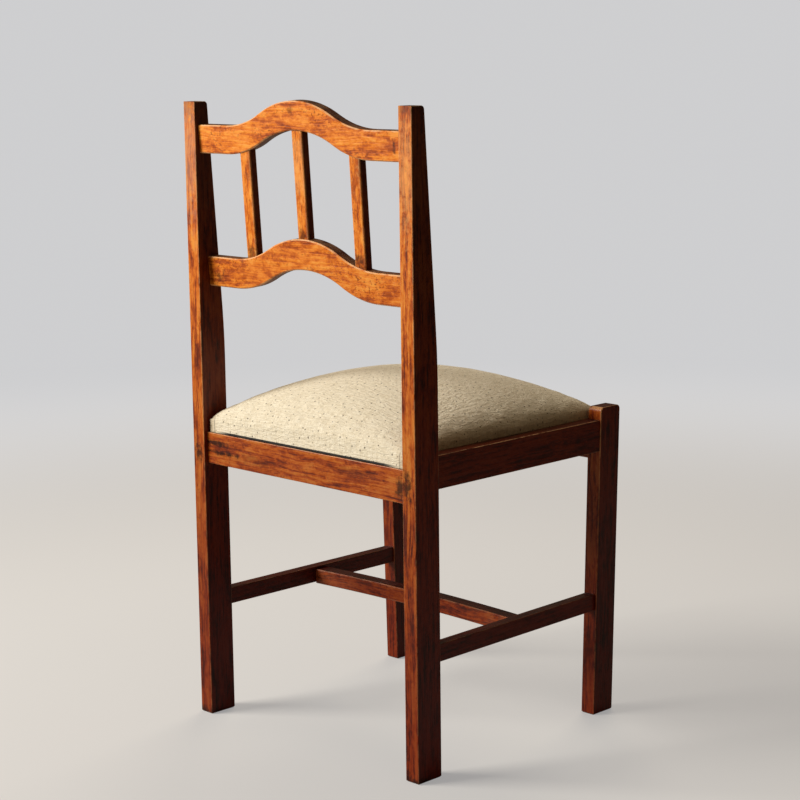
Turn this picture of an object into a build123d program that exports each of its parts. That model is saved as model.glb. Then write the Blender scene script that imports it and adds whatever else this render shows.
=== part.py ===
from build123d import *
import os
from itertools import product
from math import asin, atan2, cos, degrees, radians, sin, sqrt, tan

# A dining chair with a serpentine back and a drop-in upholstered seat, in millimetres.
# Origin on the floor under the middle of the chair, front towards -Y, sitter's left towards +X.

# Rear legs, which run on up as the back posts
chair_depth = 396.0
rear_width = 425.0
post_height = 845.0
post_width = 22.5
post_depth = 42.0
post_top_depth = 22.5
post_bend_height = 535.0
post_bend_radius = 1200.0
post_top_round = 5.0

# Front legs, a little closer together at the floor than at the seat
front_width = 426.0
front_foot_width = 404.0
leg_width = 22.0
leg_depth = 40.0
leg_height = 433.0
leg_top_round = 6.0
foot_chamfer = 2.0
arris = 1.2

# Seat rails: the front and rear ones lie lower than the side ones and carry the drop-in seat
seat_rest_height = 400.0
seat_rail_height = 43.0
cross_rail_thickness = 20.0
front_rail_setback = 3.0
rear_rail_setback = 6.0
side_rail_lift = 16.0
side_rail_thickness = 21.0
side_rail_setback = 2.0

# Stretchers
stretcher_top = 173.0
stretcher_height = 23.0
stretcher_thickness = 16.0
stretcher_rear_setback = 4.0
stretcher_front_setback = 3.4
cross_stretcher_drop = 4.0
cross_stretcher_height = 21.0
cross_stretcher_width = 22.0
cross_stretcher_place = -14.0
cross_stretcher_bow = 9.0

# Back: two rails of one serpentine pattern, with three spindles between
back_setback = 2.0
back_rail_thickness = 17.0
crest_end_height = 815.5
crest_rail_width = 37.5
lower_end_height = 640.0
lower_rail_width = 40.0
serpentine_half_span = 134.0
serpentine_rise = 34.0
back_rail_chamfer = 1.5
spindle_width = 19.5
spindle_thickness = 12.5
spindle_spacing = 102.5
spindle_round = 2.5

# Joinery
tenon_thickness = 8.0
tenon_shoulder = 6.0
tenon_root = 3.0
cross_rail_tenon = 14.0
side_rail_tenon = 18.0
back_rail_tenon = 13.0
stretcher_tenon = 15.0
cross_stretcher_tenon = 9.0
spindle_tenon = 9.0
spindle_tenon_thickness = 6.0
spindle_shoulder = 3.0
glue_gap = 0.1

# Corner blocks and their screws
block_leg = 48.0
block_height = 24.0
block_drop = 2.5
block_tip = 8.0
screw_place = 30.0
screw_stagger = 5.0
screw_diameter = 4.0
screw_head_diameter = 8.0
screw_head_height = 3.0
screw_grip = 12.0
screw_bite = 13.0
screw_pocket_gap = 0.5
screw_sides = 8

# Drop-in seat
seat_side_gap = 3.5
seat_front_gap = 2.0
seat_rear_gap = 3.0
seat_corner = 10.0
cover_thickness = 1.0
frame_gap = 0.2
seat_frame_thickness = 18.0
seat_frame_width = 45.0
strap_thickness = 1.5
strap_width = 50.0
strap_edge = 12.0
strap_count = 4
hessian_thickness = 1.0
hessian_edge = 6.0
crown_height = 82.0
band_height = 18.0
bulge_height = 31.0
band_bow_share = 0.15
bulge_corner_share = 0.10
dome_corner_share = 0.94
dome_round_angle = radians(45)
dome_top_angle = radians(85)
dome_steps = 10
corner_flats = 6
side_flats = 4
side_bow_share = 0.034
end_bow_share = 0.012
stuffing_gap = 0.3
fold_under = 30.0
dust_cloth_thickness = 0.8
dust_cloth_edge = 1.5
dust_cloth_side_edge = 8.5
tack_inset = 5.0
tack_head = 7.0
tack_head_height = 0.8
tack_sides = 8
tack_shank = 1.6
tack_length = 10.0
tacks_along = 4

# Places worked out from the sizes above
rear_face = chair_depth / 2
front_face = -chair_depth / 2
post_outer = rear_width / 2
post_inner = post_outer - post_width
post_front = rear_face - post_depth
leg_back = front_face + leg_depth
seat_rail_bottom = seat_rest_height - seat_rail_height
side_rail_top = seat_rest_height + side_rail_lift
side_rail_bottom = side_rail_top - seat_rail_height
side_rail_outer = post_outer - side_rail_setback
side_rail_inner = side_rail_outer - side_rail_thickness
front_rail_face = front_face + front_rail_setback
front_rail_back = front_rail_face + cross_rail_thickness
rear_rail_face = rear_face - rear_rail_setback
rear_rail_front = rear_rail_face - cross_rail_thickness
rake = atan2(post_depth - post_top_depth, post_height - post_bend_height)


def leg_outer(height):
    """Outer face of a front leg, which leans in towards the floor."""
    lean = (front_width - front_foot_width) / 2 / leg_height
    return front_foot_width / 2 + lean * height


def leg_inner(height):
    return leg_outer(height) - leg_width


def tenon(place, size):
    with Locations(place):
        Box(*size)


def mortise(place, size):
    with Locations(place):
        Box(*(length + 2 * glue_gap for length in size), mode=Mode.SUBTRACT)


def both_sides(place):
    """The same place on the left and on the right of the chair."""
    x, y, z = place
    return [(x, y, z), (-x, y, z)]


# Tenons, each as the middle and the size of a block that is added to a rail and cut from a post
cross_tenon_size = (cross_rail_tenon + tenon_root, tenon_thickness, seat_rail_height - 2 * tenon_shoulder)
cross_tenon_height = seat_rest_height - seat_rail_height / 2
rear_tenon_x = post_inner + (cross_rail_tenon - tenon_root) / 2
rear_tenon_at = (rear_tenon_x, rear_rail_face - cross_rail_thickness / 2, cross_tenon_height)
front_tenon_x = leg_inner(seat_rail_bottom) + (cross_rail_tenon - tenon_root) / 2
front_tenon_at = (front_tenon_x, front_rail_face + cross_rail_thickness / 2, cross_tenon_height)

side_tenon_size = (tenon_thickness, side_rail_tenon + tenon_root, seat_rail_height - 2 * tenon_shoulder)
side_tenon_shift = (side_rail_tenon - tenon_root) / 2
side_rail_middle = side_rail_outer - side_rail_thickness / 2
side_tenon_height = side_rail_top - seat_rail_height / 2
side_rear_tenon_at = (side_rail_middle, post_front + side_tenon_shift, side_tenon_height)
side_front_tenon_at = (side_rail_middle, leg_back - side_tenon_shift, side_tenon_height)

stretcher_middle_height = stretcher_top - stretcher_height / 2
stretcher_rear_x = post_outer - stretcher_rear_setback - stretcher_thickness / 2
stretcher_front_x = leg_outer(stretcher_middle_height) - stretcher_front_setback - stretcher_thickness / 2
stretcher_tenon_size = (tenon_thickness, stretcher_tenon + tenon_root, stretcher_height - tenon_shoulder)
stretcher_shift = (stretcher_tenon - tenon_root) / 2
stretcher_rear_tenon_at = (stretcher_rear_x, post_front + stretcher_shift, stretcher_middle_height)
stretcher_front_tenon_at = (stretcher_front_x, leg_back - stretcher_shift, stretcher_middle_height)


def stretcher_inner(y):
    """Inner face of a side stretcher, which runs in a little towards the front."""
    share = (y - leg_back) / (post_front - leg_back)
    middle = stretcher_front_x + (stretcher_rear_x - stretcher_front_x) * share
    return middle - stretcher_thickness / 2


cross_stretcher_top = stretcher_top - cross_stretcher_drop
cross_stretcher_middle = cross_stretcher_top - cross_stretcher_height / 2
cross_tenon_length = cross_stretcher_tenon + tenon_root
cross_stretcher_tenon_size = (cross_tenon_length, tenon_thickness, cross_stretcher_height - tenon_shoulder)
cross_stretcher_end = stretcher_inner(cross_stretcher_place - cross_stretcher_width / 2)
cross_stretcher_tenon_at = (
    cross_stretcher_end + (cross_stretcher_tenon - tenon_root) / 2,
    cross_stretcher_place,
    cross_stretcher_middle,
)

# The back leans with the posts' sloping front edges: its own plane runs along the rails' front faces
back_plane = Plane(
    origin=(0, post_front + back_setback / cos(rake), post_bend_height),
    x_dir=(1, 0, 0),
    z_dir=(0, -cos(rake), sin(rake)),
)


def up_the_back(height):
    return (height - post_bend_height) / cos(rake)


crest_bottom = up_the_back(crest_end_height) - crest_rail_width
lower_bottom = up_the_back(lower_end_height) - lower_rail_width
lower_top = lower_bottom + lower_rail_width
serpentine_radius = (serpentine_half_span**2 + serpentine_rise**2) / (4 * serpentine_rise)


def serpentine(x):
    """Height of the serpentine above its straight ends: a crown arc between two reverse arcs."""
    reach = abs(x)
    if reach >= serpentine_half_span:
        return 0.0
    if reach >= serpentine_half_span / 2:
        return serpentine_radius - sqrt(serpentine_radius**2 - (serpentine_half_span - reach) ** 2)
    return serpentine_rise - serpentine_radius + sqrt(serpentine_radius**2 - reach**2)


def serpentine_edge(base):
    half, rise = serpentine_half_span, serpentine_rise
    Line((-post_inner, base), (-half, base))
    TangentArc((-half, base), (-half / 2, base + rise / 2), tangent=(1, 0))
    ThreePointArc((-half / 2, base + rise / 2), (0, base + rise), (half / 2, base + rise / 2))
    TangentArc((half, base), (half / 2, base + rise / 2), tangent=(-1, 0))
    Line((half, base), (post_inner, base))


def serpentine_rail(base, width):
    """A plank between the posts, sawn to the serpentine on both edges."""
    with BuildSketch(back_plane) as pattern:
        with BuildLine():
            serpentine_edge(base)
            serpentine_edge(base + width)
            Line((-post_inner, base), (-post_inner, base + width))
            Line((post_inner, base), (post_inner, base + width))
        make_face()
    extrude(pattern.sketch, amount=-back_rail_thickness)


def on_the_back(x, up, depth=back_rail_thickness / 2):
    """A place in the raked back, so far behind the rails' front faces."""
    return back_plane * Location((x, up, -depth))


back_tenon_shift = (back_rail_tenon - tenon_root) / 2


def back_tenon_size(width):
    return (back_rail_tenon + tenon_root, width - 2 * tenon_shoulder, tenon_thickness)


back_joints = [(crest_bottom, crest_rail_width), (lower_bottom, lower_rail_width)]
spindle_places = {"left": spindle_spacing, "centre": 0.0, "right": -spindle_spacing}

# Corner blocks sit against the rails and legs; their screws run out from the rails' faces
sides = [("left", 1), ("right", -1)]
ends = [("front", 1), ("rear", -1)]
block_bottom = seat_rest_height - block_drop - block_height
block_middle = block_bottom + block_height / 2


def block_corner(end):
    """Inner corner of the seat rails; end is 1 at the front and -1 at the rear."""
    if end > 0:
        return min(side_rail_inner, leg_inner(block_bottom)) - glue_gap, front_rail_back + glue_gap
    return min(side_rail_inner, post_inner) - glue_gap, rear_rail_front - glue_gap


def screw_into_side(side, end):
    corner_x, corner_y = block_corner(end)
    place = (side * corner_x, corner_y + end * screw_place, block_middle + screw_stagger)
    return Plane(place, z_dir=(-side, 0, 0))


def screw_into_cross_rail(side, end):
    corner_x, corner_y = block_corner(end)
    place = (side * (corner_x - screw_place), corner_y, block_middle - screw_stagger)
    return Plane(place, z_dir=(0, end, 0))


def prism(plane, diameter, length, mode=Mode.ADD):
    """A screw's shank, head or hole, out from a plane, with few sides."""
    with BuildSketch(plane) as section:
        RegularPolygon(diameter / 2, screw_sides)
    extrude(section.sketch, amount=length, mode=mode)


def screw_hole(plane):
    hole = screw_diameter + 2 * glue_gap
    prism(plane.offset(-screw_bite - glue_gap), hole, screw_bite + 2 * glue_gap, Mode.SUBTRACT)


screws_into_front_rail = [screw_into_cross_rail(side, 1) for _, side in sides]
screws_into_rear_rail = [screw_into_cross_rail(side, -1) for _, side in sides]
screws_into_left_rail = [screw_into_side(1, end) for _, end in ends]

# Drop-in seat: it fills the space between the side rails and rests on the front and rear ones
seat_half_width = side_rail_inner - seat_side_gap
seat_front = front_rail_face + seat_front_gap
seat_rear = rear_rail_face - seat_rear_gap
seat_half_depth = (seat_rear - seat_front) / 2
seat_middle = (seat_rear + seat_front) / 2
frame_half_width = seat_half_width - cover_thickness - frame_gap
frame_half_depth = seat_half_depth - cover_thickness - frame_gap
frame_bottom = seat_rest_height + cover_thickness
frame_top = frame_bottom + seat_frame_thickness
frame_middle = frame_bottom + seat_frame_thickness / 2
hessian_top = frame_top + 2 * strap_thickness + hessian_thickness
cloth_front = front_rail_back + dust_cloth_edge
cloth_rear = rear_rail_front - dust_cloth_edge
cloth_middle = (cloth_front + cloth_rear) / 2
cloth_half_depth = (cloth_rear - cloth_front) / 2
cloth_half_width = seat_half_width - dust_cloth_side_edge


def cushion_ring(height, half_width, half_depth, corner, bow):
    """Places round a level square with its corners rounded in flats. Its sides bow out, more with a
    longer side, so that the flats of one ring run parallel with those of the next."""
    ring = []
    for quarter, (right, rear) in enumerate([(1, 1), (-1, 1), (-1, -1), (1, -1)]):
        side_x = half_width - corner
        side_y = half_depth - corner
        for step in range(corner_flats + 1):
            angle = radians(90) * (quarter + step / corner_flats)
            ring.append((right * side_x + corner * cos(angle), rear * side_y + corner * sin(angle)))
        for step in range(1, side_flats):
            along = 1 - 2 * step / side_flats
            swell = bow * (1 - along**2)
            if right == rear:
                ring.append((along * right * side_x, rear * (half_depth + swell * end_bow_share * side_x)))
            else:
                ring.append((right * (half_width + swell * side_bow_share * side_y), along * rear * side_y))
    return [Vector(x, seat_middle + y, height) for x, y in ring]


def flat_panels(lower, upper):
    """Flat faces between two rings of places, two to each step round them."""
    panels = []
    for i in range(len(lower)):
        panels.append(Face(Wire.make_polygon([lower[i - 1], lower[i], upper[i]])))
        panels.append(Face(Wire.make_polygon([lower[i - 1], upper[i], upper[i - 1]])))
    return panels


def cushion_form(inset):
    """The upholstered seat's outer form, drawn in all round by the inset: an upright band, then sides
    that swell out to the bulge, then a dome whose side view is part of an ellipse."""
    half_width = seat_half_width - inset
    half_depth = seat_half_depth - inset
    corner = seat_corner - inset
    base = seat_rest_height + inset
    band_top = seat_rest_height + band_height
    bulge = seat_rest_height + bulge_height
    dome_rise = seat_rest_height + crown_height - inset - bulge
    rings = [
        cushion_ring(height, half_width, half_depth, corner, band_bow_share) for height in (base, band_top)
    ]
    for step in range(dome_steps + 1):
        angle = dome_top_angle * step / dome_steps
        spread = cos(angle)
        turned = min(1, angle / dome_round_angle)
        rounding = bulge_corner_share + (dome_corner_share - bulge_corner_share) * turned
        round_corner = corner + rounding * (min(half_width, half_depth) - corner)
        height = bulge + dome_rise * sin(angle) / sin(dome_top_angle)
        plan = (half_width * spread, half_depth * spread, round_corner * spread)
        rings.append(cushion_ring(height, *plan, bow=1))
    faces = [Face(Wire.make_polygon(rings[0])), Face(Wire.make_polygon(rings[-1]))]
    for lower, upper in zip(rings, rings[1:]):
        faces += flat_panels(lower, upper)
    add(Solid(Shell(faces)))


tack_row_x = [(i + 0.5) / tacks_along * 2 * cloth_half_width - cloth_half_width for i in range(tacks_along)]
tack_row_y = [(i + 0.5) / tacks_along * 2 * cloth_half_depth - cloth_half_depth for i in range(tacks_along)]
tack_places = [(x, y) for x in tack_row_x for y in (cloth_front + tack_inset, cloth_rear - tack_inset)]
tack_places += [
    (side * (cloth_half_width - tack_inset), cloth_middle + y) for y in tack_row_y for side in (1, -1)
]


def tack_holes():
    for x, y in tack_places:
        with Locations((x, y, seat_rest_height - dust_cloth_thickness + tack_length / 2)):
            Box(
                tack_shank + 2 * glue_gap,
                tack_shank + 2 * glue_gap,
                tack_length + 2 * glue_gap,
                mode=Mode.SUBTRACT,
            )


nodes = {}

# Rear legs: one plank each, sawn to the side view with the front edge bent back above the seat
bend_reach = post_bend_radius * tan(rake / 2)
below_bend = (post_front, post_bend_height - bend_reach)
above_bend = (post_front + bend_reach * sin(rake), post_bend_height + bend_reach * cos(rake))
with BuildPart() as rear_leg_left:
    with BuildSketch(Plane.YZ.offset(post_inner)) as post_side:
        with BuildLine():
            Polyline(above_bend, (rear_face - post_top_depth, post_height), (rear_face, post_height))
            Polyline((rear_face, post_height), (rear_face, 0), (post_front, 0), below_bend)
            TangentArc(below_bend, above_bend, tangent=(0, 1))
        make_face()
        top_corners = post_side.vertices().group_by(Axis.Y)[-1].sort_by(Axis.X)
        fillet(top_corners[0], post_top_round)
        fillet(top_corners[-1], arris)
    extrude(amount=post_width)
    chamfer(rear_leg_left.faces().sort_by(Axis.Z)[0].edges(), foot_chamfer)
    side_edges = rear_leg_left.faces().filter_by(Axis.X).edges()
    fillet([edge for edge in side_edges if edge.center().Z > 2 * foot_chamfer], arris)
    mortise(rear_tenon_at, cross_tenon_size)
    mortise(side_rear_tenon_at, side_tenon_size)
    mortise(stretcher_rear_tenon_at, stretcher_tenon_size)
    for base, width in back_joints:
        mortise(on_the_back(post_inner + back_tenon_shift, base + width / 2), back_tenon_size(width))
nodes["rear_leg_left"] = rear_leg_left

with BuildPart() as rear_leg_right:
    mirror(rear_leg_left.part, about=Plane.YZ)
nodes["rear_leg_right"] = rear_leg_right

# Front legs: straight, leaning in towards the floor, with a rounded top
with BuildPart() as front_leg_left:
    with BuildSketch(Plane.XZ.offset(-leg_back)):
        Polygon(
            (leg_outer(0), 0),
            (leg_outer(leg_height), leg_height),
            (leg_inner(leg_height), leg_height),
            (leg_inner(0), 0),
            align=None,
        )
    extrude(amount=leg_depth)
    fillet(front_leg_left.edges().group_by(Axis.Z)[-1].filter_by(Axis.X), leg_top_round)
    chamfer(front_leg_left.faces().sort_by(Axis.Z)[0].edges(), foot_chamfer)
    side_edges = front_leg_left.edges().filter_by(lambda edge: edge.center().Z > 2 * foot_chamfer)
    fillet(side_edges.filter_by(Axis.X, reverse=True), arris)
    mortise(front_tenon_at, cross_tenon_size)
    mortise(side_front_tenon_at, side_tenon_size)
    mortise(stretcher_front_tenon_at, stretcher_tenon_size)
nodes["front_leg_left"] = front_leg_left

with BuildPart() as front_leg_right:
    mirror(front_leg_left.part, about=Plane.YZ)
nodes["front_leg_right"] = front_leg_right

# Front and rear seat rails, tenoned between the legs; the seat rests on their top edges
with BuildPart() as front_seat_rail:
    with BuildSketch(Plane.XZ.offset(-front_rail_back)):
        Polygon(
            (leg_inner(seat_rail_bottom), seat_rail_bottom),
            (leg_inner(seat_rest_height), seat_rest_height),
            (-leg_inner(seat_rest_height), seat_rest_height),
            (-leg_inner(seat_rail_bottom), seat_rail_bottom),
            align=None,
        )
    extrude(amount=cross_rail_thickness)
    fillet(front_seat_rail.edges().filter_by(Axis.X), arris)
    for place in both_sides(front_tenon_at):
        tenon(place, cross_tenon_size)
    for plane in screws_into_front_rail:
        screw_hole(plane)
nodes["front_seat_rail"] = front_seat_rail

with BuildPart() as rear_seat_rail:
    with Locations((0, rear_rail_face - cross_rail_thickness / 2, cross_tenon_height)):
        Box(2 * post_inner, cross_rail_thickness, seat_rail_height)
    fillet(rear_seat_rail.edges().filter_by(Axis.X), arris)
    for place in both_sides(rear_tenon_at):
        tenon(place, cross_tenon_size)
    for plane in screws_into_rear_rail:
        screw_hole(plane)
nodes["rear_seat_rail"] = rear_seat_rail

# Side seat rails, tenoned into the posts' front edges and the backs of the front legs
with BuildPart() as left_seat_rail:
    with Locations((side_rail_middle, (leg_back + post_front) / 2, side_tenon_height)):
        Box(side_rail_thickness, post_front - leg_back, seat_rail_height)
    fillet(left_seat_rail.edges().filter_by(Axis.Y), arris)
    tenon(side_rear_tenon_at, side_tenon_size)
    tenon(side_front_tenon_at, side_tenon_size)
    for plane in screws_into_left_rail:
        screw_hole(plane)
nodes["left_seat_rail"] = left_seat_rail

with BuildPart() as right_seat_rail:
    mirror(left_seat_rail.part, about=Plane.YZ)
nodes["right_seat_rail"] = right_seat_rail

# Side stretchers, low between front and rear legs, with a mortise for the cross stretcher
with BuildPart() as left_stretcher:
    with BuildSketch(Plane.XY.offset(stretcher_top - stretcher_height)):
        Polygon(
            (stretcher_front_x - stretcher_thickness / 2, leg_back),
            (stretcher_front_x + stretcher_thickness / 2, leg_back),
            (stretcher_rear_x + stretcher_thickness / 2, post_front),
            (stretcher_rear_x - stretcher_thickness / 2, post_front),
            align=None,
        )
    extrude(amount=stretcher_height)
    fillet(left_stretcher.edges().sort_by(SortBy.LENGTH)[-4:], arris)
    tenon(stretcher_rear_tenon_at, stretcher_tenon_size)
    tenon(stretcher_front_tenon_at, stretcher_tenon_size)
    mortise(cross_stretcher_tenon_at, cross_stretcher_tenon_size)
nodes["left_stretcher"] = left_stretcher

with BuildPart() as right_stretcher:
    mirror(left_stretcher.part, about=Plane.YZ)
nodes["right_stretcher"] = right_stretcher

# Cross stretcher, bowed towards the front in plan and sawn off between the side stretchers
bow_radius = (cross_stretcher_end**2 + cross_stretcher_bow**2) / (2 * cross_stretcher_bow)
bow_middle = cross_stretcher_place - cross_stretcher_bow
with BuildPart() as cross_stretcher:
    with BuildSketch(Plane.YZ):
        with Locations((bow_middle, cross_stretcher_middle)):
            stretcher_section = Rectangle(cross_stretcher_width, cross_stretcher_height)
        chamfer(stretcher_section.vertices(), arris)
    bow_axis = Axis((0, bow_middle + bow_radius, 0), (0, 0, 1))
    revolve(axis=bow_axis, revolution_arc=2 * degrees(asin(cross_stretcher_end / bow_radius)))
    mirror(about=Plane.YZ)
    with BuildSketch(Plane.XY.offset(cross_stretcher_top - cross_stretcher_height)):
        Polygon(
            (stretcher_inner(leg_back), leg_back),
            (stretcher_inner(post_front), post_front),
            (-stretcher_inner(post_front), post_front),
            (-stretcher_inner(leg_back), leg_back),
            align=None,
        )
    extrude(amount=cross_stretcher_height, mode=Mode.INTERSECT)
    for place in both_sides(cross_stretcher_tenon_at):
        tenon(place, cross_stretcher_tenon_size)
nodes["cross_stretcher"] = cross_stretcher

# Back rails: the plain planks, which the spindles are scribed to, then the finished rails
with BuildPart() as crest_plank:
    serpentine_rail(crest_bottom, crest_rail_width)
with BuildPart() as lower_plank:
    serpentine_rail(lower_bottom, lower_rail_width)


def tongue(x):
    """Middle and size of the tongue that runs through a spindle and into both rails."""
    low = lower_top + serpentine(x) - spindle_tenon
    high = crest_bottom + serpentine(x) + spindle_tenon
    size = (spindle_width - 2 * spindle_shoulder, high - low, spindle_tenon_thickness)
    return on_the_back(x, (low + high) / 2), size


def finish_back_rail(rail, base, width):
    face_edges = rail.edges().filter_by(back_plane)
    chamfer([edge for edge in face_edges if abs(edge.center().X) < post_inner - arris], back_rail_chamfer)
    for x in (post_inner + back_tenon_shift, -post_inner - back_tenon_shift):
        tenon(on_the_back(x, base + width / 2), back_tenon_size(width))
    for x in spindle_places.values():
        mortise(*tongue(x))


with BuildPart() as crest_rail:
    add(crest_plank.part)
    finish_back_rail(crest_rail, crest_bottom, crest_rail_width)
nodes["crest_rail"] = crest_rail

with BuildPart() as lower_back_rail:
    add(lower_plank.part)
    finish_back_rail(lower_back_rail, lower_bottom, lower_rail_width)
nodes["lower_back_rail"] = lower_back_rail

# Spindles: each end is scribed to the rail's curve and carries a stub tenon
for place, x in spindle_places.items():
    low = lower_bottom + lower_rail_width / 2 + serpentine(x)
    high = crest_bottom + crest_rail_width / 2 + serpentine(x)
    with BuildPart() as spindle:
        with Locations(on_the_back(x, (low + high) / 2)):
            Box(spindle_width, high - low, spindle_thickness)
        fillet(spindle.edges().group_by(SortBy.LENGTH)[-1], spindle_round)
        add(crest_plank.part, mode=Mode.SUBTRACT)
        add(lower_plank.part, mode=Mode.SUBTRACT)
        tenon(*tongue(x))
    nodes[f"back_spindle_{place}"] = spindle

# Corner blocks, glued into the corners of the seat rails and screwed both ways
for (side_name, side), (end_name, end) in product(sides, ends):
    corner_x, corner_y = block_corner(end)
    with BuildPart() as corner_block:
        with BuildSketch(Plane.XY.offset(block_bottom)):
            Polygon(
                (side * corner_x, corner_y),
                (side * (corner_x - block_leg), corner_y),
                (side * (corner_x - block_leg), corner_y + end * block_tip),
                (side * (corner_x - block_tip), corner_y + end * block_leg),
                (side * corner_x, corner_y + end * block_leg),
                align=None,
            )
        extrude(amount=block_height)
        for plane in (screw_into_side(side, end), screw_into_cross_rail(side, end)):
            prism(plane, screw_diameter + 2 * glue_gap, screw_grip, Mode.SUBTRACT)
            pocket = screw_head_diameter + 2 * screw_pocket_gap
            prism(plane.offset(screw_grip), pocket, block_leg, Mode.SUBTRACT)
    nodes[f"corner_block_{end_name}_{side_name}"] = corner_block

with BuildPart() as corner_block_screws:
    for (_, side), (_, end) in product(sides, ends):
        for plane in (screw_into_side(side, end), screw_into_cross_rail(side, end)):
            prism(plane.offset(-screw_bite), screw_diameter, screw_bite + screw_grip)
            prism(plane.offset(screw_grip), screw_head_diameter, screw_head_height)
nodes["corner_block_screws"] = corner_block_screws

# Drop-in seat frame: a ring with rounded corners, cut into four rails half-lapped at the corners
with BuildPart() as seat_ring:
    with BuildSketch(Plane.XY.offset(frame_bottom)):
        with Locations((0, seat_middle)):
            RectangleRounded(2 * frame_half_width, 2 * frame_half_depth, seat_corner)
            Rectangle(
                2 * (frame_half_width - seat_frame_width),
                2 * (frame_half_depth - seat_frame_width),
                mode=Mode.SUBTRACT,
            )
    extrude(amount=seat_frame_thickness)
    tack_holes()

lap_corners = [
    (x, seat_middle + y)
    for x in (frame_half_width - seat_frame_width / 2, seat_frame_width / 2 - frame_half_width)
    for y in (frame_half_depth - seat_frame_width / 2, seat_frame_width / 2 - frame_half_depth)
]


def lap_cut(height):
    with Locations(*((x, y, height) for x, y in lap_corners)):
        Box(seat_frame_width, seat_frame_width, seat_frame_thickness / 2, mode=Mode.SUBTRACT)


for name, end in (("front", -1), ("rear", 1)):
    with BuildPart() as seat_frame_cross:
        add(seat_ring.part)
        strip_y = seat_middle + end * (frame_half_depth - seat_frame_width / 2)
        with Locations((0, strip_y, frame_middle)):
            Box(2 * frame_half_width, seat_frame_width, seat_frame_thickness, mode=Mode.INTERSECT)
        lap_cut(frame_bottom + seat_frame_thickness / 4)
    nodes[f"seat_frame_{name}"] = seat_frame_cross

for name, side in sides:
    with BuildPart() as seat_frame_side:
        add(seat_ring.part)
        with Locations((side * (frame_half_width - seat_frame_width / 2), seat_middle, frame_middle)):
            Box(seat_frame_width, 2 * frame_half_depth, seat_frame_thickness, mode=Mode.INTERSECT)
        lap_cut(frame_top - seat_frame_thickness / 4)
    nodes[f"seat_frame_{name}"] = seat_frame_side

# Webbing: straps front to back on the frame, and straps side to side across them
strap_pitch_x = 2 * (frame_half_width - seat_frame_width) / strap_count
strap_pitch_y = 2 * (frame_half_depth - seat_frame_width) / strap_count
with BuildPart() as webbing_lengthways:
    with Locations((0, seat_middle, frame_top + strap_thickness / 2)):
        with GridLocations(strap_pitch_x, 0, strap_count, 1):
            Box(strap_width, 2 * (frame_half_depth - strap_edge), strap_thickness)
nodes["webbing_lengthways"] = webbing_lengthways

with BuildPart() as webbing_crossways:
    with Locations((0, seat_middle, frame_top + strap_thickness * 1.5)):
        with GridLocations(0, strap_pitch_y, 1, strap_count):
            Box(2 * (frame_half_width - strap_edge), strap_width, strap_thickness)
nodes["webbing_crossways"] = webbing_crossways

# Hessian over the webbing
with BuildPart() as hessian:
    with Locations((0, seat_middle, hessian_top - hessian_thickness / 2)):
        Box(2 * (frame_half_width - hessian_edge), 2 * (frame_half_depth - hessian_edge), hessian_thickness)
nodes["hessian"] = hessian

# Stuffing and cover: one domed form with drawn-in sides, the cover a skin round the stuffing
with BuildPart() as stuffing:
    cushion_form(cover_thickness + stuffing_gap)
    split(bisect_by=Plane.XY.offset(hessian_top), keep=Keep.TOP)
nodes["stuffing"] = stuffing

with BuildPart() as seat_cavity:
    cushion_form(cover_thickness)

with BuildPart() as seat_cover:
    cushion_form(0)
    add(seat_cavity.part, mode=Mode.SUBTRACT)
    with Locations((0, seat_middle, seat_rest_height + cover_thickness / 2)):
        Box(
            2 * (seat_half_width - fold_under),
            2 * (seat_half_depth - fold_under),
            cover_thickness,
            mode=Mode.SUBTRACT,
        )
    tack_holes()
nodes["seat_cover"] = seat_cover

# Dust cloth under the seat, clear of the rails that carry it, and the tacks through it
with BuildPart() as dust_cloth:
    with Locations((0, cloth_middle, seat_rest_height - dust_cloth_thickness / 2)):
        Box(2 * cloth_half_width, 2 * cloth_half_depth, dust_cloth_thickness)
    tack_holes()
nodes["dust_cloth"] = dust_cloth

with BuildPart() as tacks:
    for x, y in tack_places:
        with BuildSketch(Plane((x, y, seat_rest_height - dust_cloth_thickness))):
            RegularPolygon(tack_head / 2, tack_sides)
        extrude(amount=-tack_head_height)
        with BuildSketch(Plane((x, y, seat_rest_height - dust_cloth_thickness))):
            Rectangle(tack_shank, tack_shank)
        extrude(amount=tack_length)
nodes["tacks"] = tacks

os.makedirs("parts", exist_ok=True)
for name, builder in nodes.items():
    builder.part.label = name
    export_step(builder.part, f"parts/{name}.step")
    print(name, len(builder.part.solids()), "solids,", round(builder.part.volume), "cubic mm")
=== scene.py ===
from math import copysign, cos, pi, radians, sin

import bmesh
import bpy
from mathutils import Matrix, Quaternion, Vector, noise


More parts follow.
